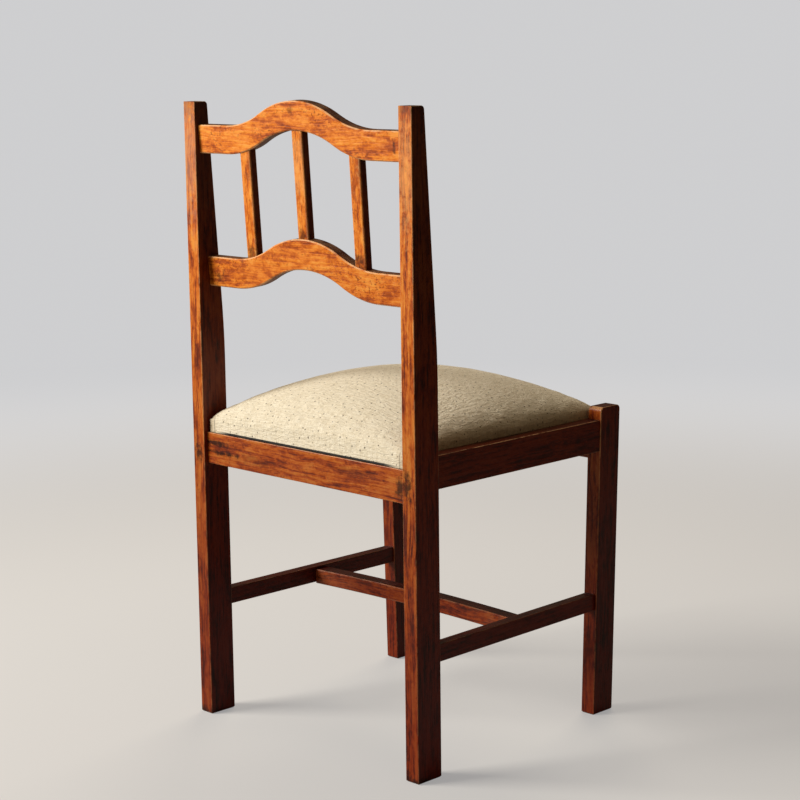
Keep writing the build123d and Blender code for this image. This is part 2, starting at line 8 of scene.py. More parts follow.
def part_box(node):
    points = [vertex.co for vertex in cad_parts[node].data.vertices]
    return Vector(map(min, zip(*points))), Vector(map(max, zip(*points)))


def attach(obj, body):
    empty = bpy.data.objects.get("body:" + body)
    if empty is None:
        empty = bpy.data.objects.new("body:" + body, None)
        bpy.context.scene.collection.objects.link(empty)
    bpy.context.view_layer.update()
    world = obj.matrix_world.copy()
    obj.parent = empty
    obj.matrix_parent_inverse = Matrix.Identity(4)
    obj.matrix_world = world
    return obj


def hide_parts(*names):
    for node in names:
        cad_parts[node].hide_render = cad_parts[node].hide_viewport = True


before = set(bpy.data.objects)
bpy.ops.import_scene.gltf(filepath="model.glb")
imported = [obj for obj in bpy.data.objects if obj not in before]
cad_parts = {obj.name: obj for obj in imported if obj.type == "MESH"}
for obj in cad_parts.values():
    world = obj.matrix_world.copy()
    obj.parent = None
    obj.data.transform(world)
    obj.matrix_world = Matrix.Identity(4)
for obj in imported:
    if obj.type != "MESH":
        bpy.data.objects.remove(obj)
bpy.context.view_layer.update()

# Rear legs, which run on up as the back posts: one sawn plank each, stained red-brown and varnished,
# with the back rails and the seat rails tenoned into them. The stain, its grain and its wear, with painted
# shade, sheen and highlights laid over them, are made here, because every rail and leg of the chair has
# them.


def add_node(tree, kind, inputs=None, **settings):
    made = tree.nodes.new(kind)
    for name, value in settings.items():
        setattr(made, name, value)
    for socket, value in (inputs or {}).items():
        if isinstance(value, bpy.types.NodeSocket):
            tree.links.new(value, made.inputs[socket])
        else:
            made.inputs[socket].default_value = value
    return made


def math_node(tree, operation, *values):
    return add_node(tree, "ShaderNodeMath", dict(enumerate(values)), operation=operation).outputs[0]


def vector_node(tree, operation, *vectors):
    made = add_node(tree, "ShaderNodeVectorMath", dict(enumerate(vectors)), operation=operation)
    return made.outputs["Value" if operation == "LENGTH" else "Vector"]


def axes_of(tree, vector):
    return add_node(tree, "ShaderNodeSeparateXYZ", {"Vector": vector}).outputs


def noise_node(tree, vector, scale, detail=3.0, rough=0.55, twist=0.0):
    return add_node(
        tree,
        "ShaderNodeTexNoise",
        {"Vector": vector, "Scale": scale, "Detail": detail, "Roughness": rough, "Distortion": twist},
    ).outputs["Fac"]


def range_node(tree, value, low, high, to_low=0.0, to_high=1.0):
    return add_node(
        tree,
        "ShaderNodeMapRange",
        {"Value": value, "From Min": low, "From Max": high, "To Min": to_low, "To Max": to_high},
        interpolation_type="SMOOTHSTEP",
    ).outputs[0]


def mix_node(tree, blend, share, under, over):
    return add_node(
        tree,
        "ShaderNodeMix",
        {0: share, 6: under, 7: over},
        data_type="RGBA",
        blend_type=blend,
    ).outputs[2]


def ramp_node(tree, value, stops):
    made = add_node(tree, "ShaderNodeValToRGB", {"Fac": value})
    while len(made.color_ramp.elements) < len(stops):
        made.color_ramp.elements.new(0.5)
    for element, (place, colour) in zip(made.color_ramp.elements, stops):
        element.position = place
        element.color = (*colour, 1.0)
    return made.outputs["Color"]


def bump_node(tree, height, strength, distance):
    return add_node(
        tree, "ShaderNodeBump", {"Height": height, "Strength": strength, "Distance": distance}
    ).outputs[0]


def group_node(tree, group, inputs):
    return add_node(tree, "ShaderNodeGroup", inputs, node_tree=group).outputs


def shader_group(name, inputs, outputs):
    """A node group with these inputs and their values, and one number for each output."""
    group = bpy.data.node_groups.new(name, "ShaderNodeTree")
    for socket, value in inputs.items():
        kind = "NodeSocketVector" if isinstance(value, tuple) else "NodeSocketFloat"
        made = group.interface.new_socket(socket, in_out="INPUT", socket_type=kind)
        made.default_value = value
    for socket in outputs:
        group.interface.new_socket(socket, in_out="OUTPUT", socket_type="NodeSocketFloat")
    return group, group.nodes.new("NodeGroupInput").outputs, group.nodes.new("NodeGroupOutput").inputs


def new_material(name):
    material = bpy.data.materials.new(name)
    material.use_nodes = True
    return material, material.node_tree, material.node_tree.nodes["Principled BSDF"].inputs


def finish_nodes(material, *names):
    for name in names:
        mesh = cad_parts[name].data
        mesh.materials.clear()
        mesh.materials.append(material)


# Grain of stained beech: streaks and pores along the third axis, mottled clouds and dark flecks
wood_grain, enter, leave = shader_group(
    "stained grain",
    {"Along": (0, 0, 0), "Fleck share": 0.5, "Streak share": 0.0},
    ["Tone", "Flecks", "Height"],
)
along = enter["Along"]
grain_bend = 0.016
bend_along = vector_node(wood_grain, "MULTIPLY", along, (1, 1, 0.5))
bend = noise_node(wood_grain, bend_along, scale=14.0, detail=2.0)
bend_shift = add_node(
    wood_grain, "ShaderNodeCombineXYZ", {"X": math_node(wood_grain, "MULTIPLY", bend, grain_bend)}
).outputs[0]
curved = vector_node(wood_grain, "ADD", along, bend_shift)


def grain_layer(vector, length_share, scale, detail, rough, twist=0.0, middle=0.5, spread=0.2):
    """Noise drawn out along the grain, as a share that rises across a spread about its middle."""
    drawn_out = vector_node(wood_grain, "MULTIPLY", vector, (1, 1, length_share))
    layer = noise_node(wood_grain, drawn_out, scale, detail, rough, twist)
    return range_node(wood_grain, layer, middle - spread, middle + spread)


streaks = grain_layer(curved, 0.06, scale=240.0, detail=5.0, rough=0.65, twist=0.3)
pores = grain_layer(curved, 0.03, scale=560.0, detail=3.0, rough=0.65)
clouds = grain_layer(along, 0.35, scale=42.0, detail=5.0, rough=0.62, twist=0.9, spread=0.16)
mottle = grain_layer(along, 0.55, scale=170.0, detail=4.0, rough=0.62, twist=0.5, spread=0.18)
specks = grain_layer(along, 0.80, scale=300.0, detail=2.0, rough=0.50, middle=0.60, spread=0.06)
patches = grain_layer(along, 0.60, scale=30.0, detail=3.0, rough=0.55, middle=0.51, spread=0.11)
tone = 0.0
for layer, weight in ((streaks, 0.20), (pores, 0.24), (clouds, 0.32), (mottle, 0.24)):
    tone = math_node(wood_grain, "MULTIPLY_ADD", layer, weight, tone)
streaked = math_node(wood_grain, "SUBTRACT", streaks, 0.5)
tone = math_node(wood_grain, "MULTIPLY_ADD", streaked, enter["Streak share"], tone)
patchy_specks = math_node(wood_grain, "MULTIPLY", specks, patches)
flecks = math_node(wood_grain, "MULTIPLY", patchy_specks, enter["Fleck share"])
relief = math_node(wood_grain, "MULTIPLY", math_node(wood_grain, "ADD", pores, streaks), 0.5)
for socket, value in (("Tone", tone), ("Flecks", flecks), ("Height", relief)):
    wood_grain.links.new(value, leave[socket])

# Worn arrises: rubbed pale, in places, where the surface faces between two of the piece's own sides; the
# pale is partly wear and partly a painted highlight along the rounded edge.
# A sawn curve faces between the sides all along it, so it counts only where it turns to front or back.
worn_and_highlit_edges, enter, leave = shader_group(
    "worn and highlit arris", {"Facing": (0, 0, 1), "Place": (0, 0, 0), "Straight": 1.0}, ["Mask"]
)
facing_axes = axes_of(worn_and_highlit_edges, vector_node(worn_and_highlit_edges, "ABSOLUTE", enter["Facing"]))


def between_sides(share):
    return math_node(worn_and_highlit_edges, "MULTIPLY", share, math_node(worn_and_highlit_edges, "SUBTRACT", 1.0, share))


front_turn = between_sides(facing_axes["Y"])
side_turn = math_node(worn_and_highlit_edges, "MULTIPLY", between_sides(facing_axes["X"]), enter["Straight"])
turned = range_node(worn_and_highlit_edges, math_node(worn_and_highlit_edges, "MAXIMUM", front_turn, side_turn), 0.03, 0.15)
rub_and_highlight_noise = noise_node(worn_and_highlit_edges, enter["Place"], scale=60.0, detail=5.0, rough=0.68)
rub_and_highlight_marks = range_node(worn_and_highlit_edges, rub_and_highlight_noise, 0.34, 0.58)
worn_and_highlit_edges.links.new(math_node(worn_and_highlit_edges, "MULTIPLY", turned, rub_and_highlight_marks), leave["Mask"])

# A patch round a place with a ragged edge broken up by noise: dark polish in joints, and painted sheen
# where it is pale or dull
polish_and_sheen_patch, enter, leave = shader_group(
    "polish and sheen patch", {"Place": (0, 0, 0), "Middle": (0, 0, 0), "Reach": (0.02, 0.02, 0.02)}, ["Mask"]
)
patch_raggedness = 2.6
patch_edge = 2.2
patch_full = 1.4
apart = vector_node(polish_and_sheen_patch, "SUBTRACT", enter["Place"], enter["Middle"])
reach_share = vector_node(polish_and_sheen_patch, "LENGTH", vector_node(polish_and_sheen_patch, "DIVIDE", apart, enter["Reach"]))
broken = noise_node(polish_and_sheen_patch, enter["Place"], scale=120.0, detail=5.0, rough=0.72, twist=0.2)
ragged = math_node(polish_and_sheen_patch, "MULTIPLY_ADD", broken, patch_raggedness, reach_share)
polish_and_sheen_patch.links.new(range_node(polish_and_sheen_patch, ragged, patch_edge, patch_full), leave["Mask"])

stain_stops = [
    (0.10, (0.160, 0.022, 0.0030)),
    (0.36, (0.480, 0.094, 0.0080)),
    (0.56, (0.760, 0.205, 0.0180)),
    (0.85, (0.900, 0.360, 0.0600)),
]
stain_dark = (0.022, 0.0050, 0.0026, 1.0)
fleck_stain = (0.210, 0.0320, 0.0050, 1.0)
bare_wood_and_highlight = (0.820, 0.450, 0.210, 1.0)
low_stain_and_shade = (0.243, 0.071, 0.061, 1.0)
side_shade_high = (0.170, 0.110, 0.120, 1.0)
side_shade_low = (0.500, 0.170, 0.100, 1.0)
deep_stain = (0.560, 0.260, 0.210, 1.0)
upward_shade = (0.500, 0.420, 0.400, 1.0)
painted_pale_sheen = (0.900, 0.420, 0.130, 1.0)
painted_dull_sheen = (0.480, 0.240, 0.150, 1.0)
fleck_strength = 0.7
grain_upright = (0.0, 0.0, 0.0)
grain_across = (0.0, radians(-90), 0.0)
grain_front_to_back = (radians(90), 0.0, 0.0)

# Darker towards the feet, partly darker stain and partly painted shade where less light reaches low down;
# the arrises are paler higher up, partly rubbed where hands reach and partly a painted highlight
feet_height = 0.06
head_height = 0.78
feet_stain_and_shade = 0.92
arris_low_height = 0.20
arris_high_height = 0.62
arris_low_share = 0.14

# How squarely a face has to look back or upwards, as a share of its normal, for the painted shade on faces
# that turn aside or upwards
faces_back = 0.65
faces_aside = 0.30
tilts_up = 0.60
faces_up = 0.95

varnish_rough = 0.44
varnish_smooth = 0.32
rubbed_rough = 0.20


def along_grain(tree, place, grain_turn):
    return add_node(tree, "ShaderNodeMapping", {"Vector": place, "Rotation": grain_turn}).outputs[0]


def stained_wood(name, grain_turn, fleck_share, depth, patches_of_polish_and_sheen=(), straight=1.0, streaks=0.0, rubbed_and_highlit=0.85):
    """Stained, varnished wood: grain turned along the piece, a depth of stain, darker towards the feet,
    painted shade on faces that turn aside or upwards, pale arrises partly worn and partly a painted
    highlight, and patches of dark polish and of painted sheen, each of them a middle, a reach, a strength
    and a tint."""
    material, tree, shader = new_material(name)
    coordinates = add_node(tree, "ShaderNodeTexCoord").outputs
    place = coordinates["Object"]
    grain = group_node(
        tree,
        wood_grain,
        {
            "Along": along_grain(tree, place, grain_turn),
            "Fleck share": fleck_share,
            "Streak share": streaks,
        },
    )
    colour = ramp_node(tree, grain["Tone"], stain_stops)
    flecked = math_node(tree, "MULTIPLY", grain["Flecks"], fleck_strength)
    colour = mix_node(tree, "MIX", flecked, colour, fleck_stain)
    colour = mix_node(tree, "MULTIPLY", depth, colour, deep_stain)
    for middle, reach, strength, tint in patches_of_polish_and_sheen:
        made = group_node(tree, polish_and_sheen_patch, {"Place": place, "Middle": middle, "Reach": reach})
        mask = math_node(tree, "MULTIPLY", made["Mask"], strength)
        colour = mix_node(tree, "MIX", mask, colour, tint)

    height = axes_of(tree, place)["Z"]
    # Darker towards the feet: partly darker stain, partly painted shade
    low = range_node(tree, height, feet_height, head_height, feet_stain_and_shade, 0.0)
    colour = mix_node(tree, "MULTIPLY", low, colour, low_stain_and_shade)
    # Painted shade: faces that turn aside from front and back are darkened, less so low down
    facing = axes_of(tree, coordinates["Normal"])
    side = range_node(tree, math_node(tree, "ABSOLUTE", facing["Y"]), faces_back, faces_aside)
    side_shade = mix_node(tree, "MIX", low, side_shade_high, side_shade_low)
    colour = mix_node(tree, "MULTIPLY", side, colour, side_shade)
    # Painted shade: faces that look upwards are darkened
    upward = range_node(tree, facing["Z"], tilts_up, faces_up)
    colour = mix_node(tree, "MULTIPLY", upward, colour, upward_shade)

    # Pale arrises: partly rubbed wear, partly a painted highlight
    worn_and_highlit = group_node(
        tree, worn_and_highlit_edges, {"Facing": coordinates["Normal"], "Place": place, "Straight": straight}
    )
    rub_and_highlight_share = range_node(tree, height, arris_low_height, arris_high_height, arris_low_share, rubbed_and_highlit)
    rub_and_highlight = math_node(tree, "MULTIPLY", worn_and_highlit["Mask"], rub_and_highlight_share)
    colour = mix_node(tree, "MIX", rub_and_highlight, colour, bare_wood_and_highlight)
    tree.links.new(colour, shader["Base Color"])
    varnish = range_node(tree, grain["Height"], 0.2, 0.8, varnish_rough, varnish_smooth)
    tree.links.new(math_node(tree, "MULTIPLY_ADD", rub_and_highlight, rubbed_rough, varnish), shader["Roughness"])
    tree.links.new(bump_node(tree, grain["Height"], strength=0.35, distance=0.0006), shader["Normal"])
    shader["Specular IOR Level"].default_value = 0.22
    shader["Coat Weight"].default_value = 0.06
    shader["Coat Roughness"].default_value = 0.25
    return material


post_low, post_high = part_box("rear_leg_left")
rail_low, rail_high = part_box("rear_seat_rail")
post_x = (post_low.x + post_high.x) / 2
post_edge = post_high.y
post_top = post_high.z
back_y = post_edge - 0.008
rail_level = (rail_low.z + rail_high.z) / 2
post_wood = stained_wood(
    "post wood",
    grain_upright,
    fleck_share=0.6,
    depth=0.25,
    patches_of_polish_and_sheen=[
        ((-post_x + 0.004, post_edge, rail_level + 0.0045), (0.012, 0.012, 0.030), 0.85, stain_dark),
        ((post_x, post_edge, rail_level - 0.0065), (0.012, 0.012, 0.020), 0.85, stain_dark),
        ((post_x, back_y, post_top), (0.060, 0.060, 0.034), 0.40, stain_dark),
        # Painted sheen: dull grey high on the left post's back, pale high on the right post's
        ((post_x, back_y, post_top - 0.075), (0.060, 0.060, 0.130), 0.45, painted_dull_sheen),
        ((-post_x, post_edge, post_top - 0.085), (0.030, 0.030, 0.110), 0.40, painted_pale_sheen),
        ((-post_x, back_y, post_top), (0.060, 0.060, 0.022), 0.40, stain_dark),
        ((post_x, back_y, 0.0), (0.030, 0.030, 0.016), 0.85, stain_dark),
        ((-post_x, back_y, 0.0), (0.030, 0.030, 0.018), 0.85, stain_dark),
    ],
    streaks=0.45,
    rubbed_and_highlit=0.6,
)
finish_nodes(post_wood, "rear_leg_left", "rear_leg_right")

# Front legs: straight squared lengths of the same stained wood, rounded over at the top, with the
# front and side seat rails and the stretchers tenoned into them.
leg_wood = stained_wood("front leg wood", grain_upright, fleck_share=0.6, depth=0.6, streaks=0.45)
finish_nodes(leg_wood, "front_leg_left", "front_leg_right")

# Seat rails: four sawn lengths tenoned between the legs. The seat drops in between the side rails
# and rests on the front and rear ones.
rail_back = rail_high.y
rail_end = post_low.x
cross_rail_wood = stained_wood(
    "cross rail wood",
    grain_across,
    fleck_share=0.8,
    depth=0.35,
    patches_of_polish_and_sheen=[
        ((rail_end - 0.018, rail_back, rail_level + 0.0075), (0.052, 0.012, 0.006), 0.90, stain_dark),
        ((rail_end - 0.030, rail_back, rail_level - 0.0045), (0.060, 0.012, 0.005), 0.90, stain_dark),
        ((rail_end - 0.100, rail_back, rail_level - 0.0065), (0.060, 0.012, 0.012), 0.30, stain_dark),
        ((-rail_end + 0.008, rail_back, rail_level - 0.0025), (0.016, 0.012, 0.024), 0.85, stain_dark),
        ((-rail_end + 0.090, rail_back, rail_level + 0.0055), (0.070, 0.012, 0.010), 0.30, stain_dark),
    ],
    streaks=0.4,
)
finish_nodes(cross_rail_wood, "front_seat_rail", "rear_seat_rail")
side_rail_wood = stained_wood(
    "side rail wood", grain_front_to_back, fleck_share=0.6, depth=0.5, streaks=0.3
)
finish_nodes(side_rail_wood, "left_seat_rail", "right_seat_rail")

# Stretchers: two thin straight lengths between the front and rear legs and a bowed one across between
# them, of the same stained wood, each tenoned into the pieces that it joins.
finish_nodes(side_rail_wood, "left_stretcher", "right_stretcher")
finish_nodes(cross_rail_wood, "cross_stretcher")

# The back: two rails sawn from planks to one serpentine pattern and tenoned into the posts, with three
# spindles stub tenoned between them. The stain is lightest here, with old polish in the joints and a
# painted sheen on the upper spindles.
lower_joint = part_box("lower_back_rail")[0].z + 0.013
back_rail_wood = stained_wood(
    "back rail wood",
    grain_across,
    fleck_share=1.0,
    depth=0.0,
    patches_of_polish_and_sheen=[
        ((rail_end - 0.022, back_y - 0.003, lower_joint), (0.016, 0.020, 0.014), 0.7, stain_dark),
        ((0.006, back_y, post_top - 0.010), (0.010, 0.020, 0.008), 0.6, stain_dark),
        ((-rail_end + 0.014, back_y, post_top - 0.050), (0.004, 0.020, 0.014), 0.8, stain_dark),
    ],
    straight=0.0,
)
finish_nodes(back_rail_wood, "crest_rail", "lower_back_rail")
spindle_low, spindle_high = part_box("back_spindle_left")
spindle_x = (spindle_low.x + spindle_high.x) / 2
spindle_back = back_y - 0.006
spindle_foot = spindle_low.z + 0.014
centre_spindle_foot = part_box("back_spindle_centre")[0].z + 0.014
spindle_wood = stained_wood(
    "spindle wood",
    grain_upright,
    fleck_share=0.9,
    depth=0.0,
    patches_of_polish_and_sheen=[
        ((spindle_x, spindle_back, spindle_foot), (0.014, 0.014, 0.016), 0.7, stain_dark),
        ((0.0, spindle_back, centre_spindle_foot), (0.014, 0.014, 0.012), 0.7, stain_dark),
        ((-spindle_x, spindle_back, spindle_foot), (0.014, 0.014, 0.018), 0.8, stain_dark),
        # Painted sheen: a pale patch across the upper spindles
        ((0.0, back_y, post_top - 0.085), (0.150, 0.016, 0.070), 0.45, painted_pale_sheen),
    ],
    rubbed_and_highlit=0.35,
)
finish_nodes(spindle_wood, "back_spindle_left", "back_spindle_centre", "back_spindle_right")

# Corner blocks: bare beech offcuts glued into the corners under the seat, each held by two steel
# screws. The plain wood and the dull, spotted steel of all the fixings are made here.


def bare_beech(name, grain_turn, light, dark):
    material, tree, shader = new_material(name)
    place = add_node(tree, "ShaderNodeTexCoord").outputs["Object"]
    grain = group_node(tree, wood_grain, {"Along": along_grain(tree, place, grain_turn)})
    tree.links.new(ramp_node(tree, grain["Tone"], [(0.2, dark), (0.7, light)]), shader["Base Color"])
    tree.links.new(range_node(tree, grain["Height"], 0.3, 0.7, 0.60, 0.78), shader["Roughness"])
    tree.links.new(bump_node(tree, grain["Height"], strength=0.4, distance=0.0005), shader["Normal"])
    return material


block_wood = bare_beech("corner block beech", grain_across, (0.50, 0.33, 0.18), (0.27, 0.15, 0.07))
for corner in ("front_left", "rear_left", "front_right", "rear_right"):
    finish_nodes(block_wood, "corner_block_" + corner)

steel_stops = [(0.40, (0.20, 0.15, 0.11)), (0.58, (0.46, 0.45, 0.43))]
fixing_steel, tree, shader = new_material("fixing steel")
steel_place = add_node(tree, "ShaderNodeTexCoord").outputs["Object"]
tarnish = noise_node(tree, steel_place, scale=420.0, detail=4.0, rough=0.6)
tree.links.new(ramp_node(tree, tarnish, steel_stops), shader["Base Color"])
tree.links.new(range_node(tree, tarnish, 0.4, 0.6, 0.55, 0.30), shader["Roughness"])
shader["Metallic"].default_value = 1.0
finish_nodes(fixing_steel, "corner_block_screws")

# Seat frame: four bare beech rails half-lapped at the corners. Everything in the seat is tacked to
# it, and the seat lies loose in the chair on it.
seat_frame_light = (0.55, 0.37, 0.20)
seat_frame_dark = (0.30, 0.18, 0.09)
for name, grain_turn, rails in (
    ("seat frame beech across", grain_across, ("seat_frame_front", "seat_frame_rear")),
    ("seat frame beech along", grain_front_to_back, ("seat_frame_left", "seat_frame_right")),
):
    finish_nodes(bare_beech(name, grain_turn, seat_frame_light, seat_frame_dark), *rails)

# Webbing: jute straps tacked across the seat frame in both directions, each passing over and under
# those that it crosses. The cloth weave is made here, for every cloth of the seat.
weave, enter, leave = shader_group(
    "plain weave", {"Cloth": (0, 0, 0), "Threads": 700.0, "Slub": 60.0}, ["Height", "Slubs"]
)
slub_length_share = 0.12
cloth_axes = axes_of(weave, enter["Cloth"])


def thread_wave(axis):
    return math_node(weave, "SINE", math_node(weave, "MULTIPLY", cloth_axes[axis], enter["Threads"]))


def slub_noise(stretch):
    stretched = vector_node(weave, "MULTIPLY", enter["Cloth"], stretch)
    return noise_node(weave, stretched, scale=enter["Slub"], rough=0.6)


crossing = math_node(weave, "MULTIPLY", thread_wave("X"), thread_wave("Y"))
warp_slub = slub_noise((1, slub_length_share, slub_length_share))
weft_slub = slub_noise((slub_length_share, 1, 1))
slubs = math_node(weave, "MULTIPLY", math_node(weave, "ADD", warp_slub, weft_slub), 0.5)
weave.links.new(math_node(weave, "MULTIPLY_ADD", crossing, 0.5, 0.5), leave["Height"])
weave.links.new(slubs, leave["Slubs"])


def woven_tone(tree, woven, slub_share):
    slub_tone = math_node(tree, "MULTIPLY", woven["Slubs"], slub_share)
    return math_node(tree, "MULTIPLY_ADD", woven["Height"], 1 - slub_share, slub_tone)


def plain_cloth(name, light, dark, threads):
    material, tree, shader = new_material(name)
    place = add_node(tree, "ShaderNodeTexCoord").outputs["Object"]
    woven = group_node(tree, weave, {"Cloth": place, "Threads": threads})
    tone = woven_tone(tree, woven, slub_share=0.7)
    tree.links.new(ramp_node(tree, tone, [(0.30, dark), (0.66, light)]), shader["Base Color"])
    tree.links.new(bump_node(tree, woven["Height"], strength=0.6, distance=0.0006), shader["Normal"])
    shader["Roughness"].default_value = 0.9
    shader["Sheen Weight"].default_value = 0.15
    return material


def new_piece(name, mesh, body, material):
    piece = bpy.data.objects.new(name, mesh)
    bpy.context.scene.collection.objects.link(piece)
    mesh.materials.append(material)
    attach(piece, body)
    return piece


def thicken(piece, thickness, offset):
    wall = piece.modifiers.new("thickness", "SOLIDIFY")
    wall.thickness = thickness
    wall.offset = offset


strap_count = 4
strap_width = 0.050
strap_thickness = 0.0012
strap_wave = 0.0007
strap_steps = 48
lengthways_low, lengthways_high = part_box("webbing_lengthways")
crossways_low, crossways_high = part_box("webbing_crossways")
webbing_middle_y = (lengthways_low.y + lengthways_high.y) / 2
strap_layer = (lengthways_low.z + crossways_high.z) / 2


def strap_places(middle, reach):
    """The middles of straps laid evenly over a reach."""
    return [middle + (i / (strap_count - 1) - 0.5) * (reach - strap_width) for i in range(strap_count)]


def strap(work, start, run, across, crossings, first_over):
    """A flat strap along run, which passes over and under at the crossings."""
    made = bmesh.ops.create_grid(work, x_segments=strap_steps, y_segments=1, size=0.5)
    spacing = crossings[1] - crossings[0]
    for vert in made["verts"]:
        along, side = vert.co.x + 0.5, vert.co.y
        place = start + run * along + across * side
        reach = (along * run.length - crossings[0]) / spacing
        reach = min(max(reach, -0.5), strap_count - 0.5)
        vert.co = place
        vert.co.z = strap_layer + first_over * strap_wave * cos(pi * reach)


strap_places_x = strap_places(0.0, lengthways_high.x - lengthways_low.x)
strap_places_y = strap_places(webbing_middle_y, crossways_high.y - crossways_low.y)
webbing_cloth = plain_cloth("jute webbing", (0.50, 0.40, 0.25), (0.30, 0.22, 0.12), 2600.0)
for node, fixed, length_axis, tacked_to in (
    ("webbing_lengthways", strap_places_x, "y", ["seat_frame_front", "seat_frame_rear"]),
    ("webbing_crossways", strap_places_y, "x", ["seat_frame_left", "seat_frame_right"]),
):
    work = bmesh.new()
    for index, place in enumerate(fixed):
        over = 1 if index % 2 else -1
        if length_axis == "y":
            strap_length = lengthways_high.y - lengthways_low.y
            start = Vector((place, lengthways_low.y, 0))
            run = Vector((0, strap_length, 0))
            across = Vector((strap_width, 0, 0))
            crossings = [y - lengthways_low.y for y in strap_places_y]
        else:
            strap_length = crossways_high.x - crossways_low.x
            start = Vector((crossways_low.x, place, 0))
            run = Vector((strap_length, 0, 0))
            across = Vector((0, strap_width, 0))
            crossings = [x - crossways_low.x for x in strap_places_x]
            over = -over
        strap(work, start, run, across, crossings, over)
    bmesh.ops.recalc_face_normals(work, faces=work.faces)
    mesh = bpy.data.meshes.new(node + "_straps")
    work.to_mesh(mesh)
    work.free()
    straps = new_piece(node + "_straps", mesh, "drop_in_seat", webbing_cloth)
    thicken(straps, strap_thickness, offset=0)
    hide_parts(node)

# Hessian: one open-woven jute cloth laid over the webbing and tacked to the seat frame, which keeps
# the stuffing out of the gaps between the straps.
hessian_thickness = 0.0009
cloth_cuts = 24
hessian_low, hessian_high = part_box("hessian")


def laid_cloth(name, low, high, height, sag):
    """A flat rectangle of cloth at a height, hanging down a little in the middle."""
    work = bmesh.new()
    bmesh.ops.create_grid(work, x_segments=cloth_cuts, y_segments=cloth_cuts, size=0.5)
    for vert in work.verts:
        x, y = vert.co.x, vert.co.y
        vert.co.x = (low.x + high.x) / 2 + x * (high.x - low.x)
        vert.co.y = (low.y + high.y) / 2 + y * (high.y - low.y)
        vert.co.z = height - sag * cos(pi * x) * cos(pi * y)
    mesh = bpy.data.meshes.new(name)
    work.to_mesh(mesh)
    work.free()
    return mesh


hessian_cloth = plain_cloth("hessian cloth", (0.56, 0.45, 0.28), (0.30, 0.22, 0.12), 1800.0)
hessian_mesh = laid_cloth("hessian_cloth", hessian_low, hessian_high, hessian_high.z, sag=0.0)
hessian = new_piece("hessian_cloth", hessian_mesh, "drop_in_seat", hessian_cloth)
thicken(hessian, hessian_thickness, offset=-1)
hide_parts("hessian")

# Seat cushion: fibre wadding heaped on the hessian under a woven cream cover with dark specks, drawn
# down over the seat frame and tacked under it, so it crowns in the middle and is tight at the sides.
cushion_low, cushion_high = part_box("seat_cover")
cushion_middle = (cushion_low + cushion_high) / 2
cushion_base = cushion_low.z
cushion_side_bow = 0.0055
cushion_end_bow = 0.0020
cushion_half_width = (cushion_high.x - cushion_low.x) / 2 - cushion_side_bow
cushion_half_depth = (cushion_high.y - cushion_low.y) / 2 - cushion_end_bow
cushion_rim = 0.021
cushion_crown = cushion_high.z - cushion_low.z
lower_edge_round = 0.001
cube_cuts = 39
cube_top = 0.999

# Heights above the base at which the sides start to bow out, bow fully, draw in again and end
bow_start = 0.010
bow_full = 0.030
bow_draws_in = 0.034
bow_end = 0.078


def smooth_step(value, low, high):
    share = min(max((value - low) / (high - low), 0.0), 1.0)
    return share * share * (3 - 2 * share)


def cushion_place(a, b, c):
    """Where a point of a cube from -1 to 1 goes on the cushion: an upright band, then a pillow over it
    that stands on the band's rim, with its sides bowed out most just above the rim."""
    across, along = sin(a * pi / 2), sin(b * pi / 2)
    height = (c + 1) / 2 * cushion_rim
    spread = 1.0
    if c > cube_top:
        height = cushion_rim + (cushion_crown - cushion_rim) * cos(a * pi / 2) * cos(b * pi / 2)
    elif height < lower_edge_round:
        drop = 1 - height / lower_edge_round
        spread = 1 - (1 - (1 - drop**2) ** 0.5) * lower_edge_round / cushion_half_width
    swell = smooth_step(height, bow_start, bow_full) * (1 - smooth_step(height, bow_draws_in, bow_end))
    x = across * (cushion_half_width * spread + swell * cushion_side_bow * (1 - along**2))
    y = along * (cushion_half_depth * spread + swell * cushion_end_bow * (1 - across**2))
    return x, y, height


work = bmesh.new()
bmesh.ops.create_cube(work, size=2)
bmesh.ops.subdivide_edges(work, edges=work.edges, cuts=cube_cuts, use_grid_fill=True)
for vert in work.verts:
    x, y, height = cushion_place(*vert.co)
    vert.co = (x, y + cushion_middle.y, cushion_base + height)
bmesh.ops.recalc_face_normals(work, faces=work.faces)
cushion_mesh = bpy.data.meshes.new("seat_cushion")
work.to_mesh(cushion_mesh)
work.free()
cushion = bpy.data.objects.new("seat_cushion", cushion_mesh)
bpy.context.scene.collection.objects.link(cushion)


def settle(piece):
    """The piece's mesh with its modifiers worked in."""
    shown = piece.evaluated_get(bpy.context.evaluated_depsgraph_get())
    mesh = bpy.data.meshes.new_from_object(shown)
    piece.modifiers.clear()
    piece.data = mesh
    return mesh


# The stuffing presses the cover out from inside, while the tacks hold its lower edge
cloth_spacing = 0.005
cloth_frames = 20
grip_full_height = 0.016
grip_end_height = 0.026
most_swell = 0.0025
voxels = cushion.modifiers.new("even cloth", "REMESH")
voxels.mode = "VOXEL"
voxels.voxel_size = cloth_spacing
cushion_mesh = settle(cushion)
before = [vert.co.copy() for vert in cushion_mesh.vertices]
held = cushion.vertex_groups.new(name="tacked")
for vert in cushion_mesh.vertices:
    grip = 1 - smooth_step(vert.co.z - cushion_base, grip_full_height, grip_end_height)
    if grip > 0:
        held.add([vert.index], grip, "REPLACE")
cloth = cushion.modifiers.new("cover", "CLOTH")
cloth.settings.quality = 6
cloth.settings.mass = 0.3
cloth.settings.tension_stiffness = 25
cloth.settings.compression_stiffness = 25
cloth.settings.bending_stiffness = 3.0
cloth.settings.use_pressure = True
cloth.settings.uniform_pressure_force = 2.0
cloth.settings.vertex_group_mass = "tacked"
cloth.settings.effector_weights.gravity = 0
scene = bpy.context.scene
for step in range(1, cloth_frames + 1):
    scene.frame_set(step)
cushion_mesh = settle(cushion)
scene.frame_set(1)
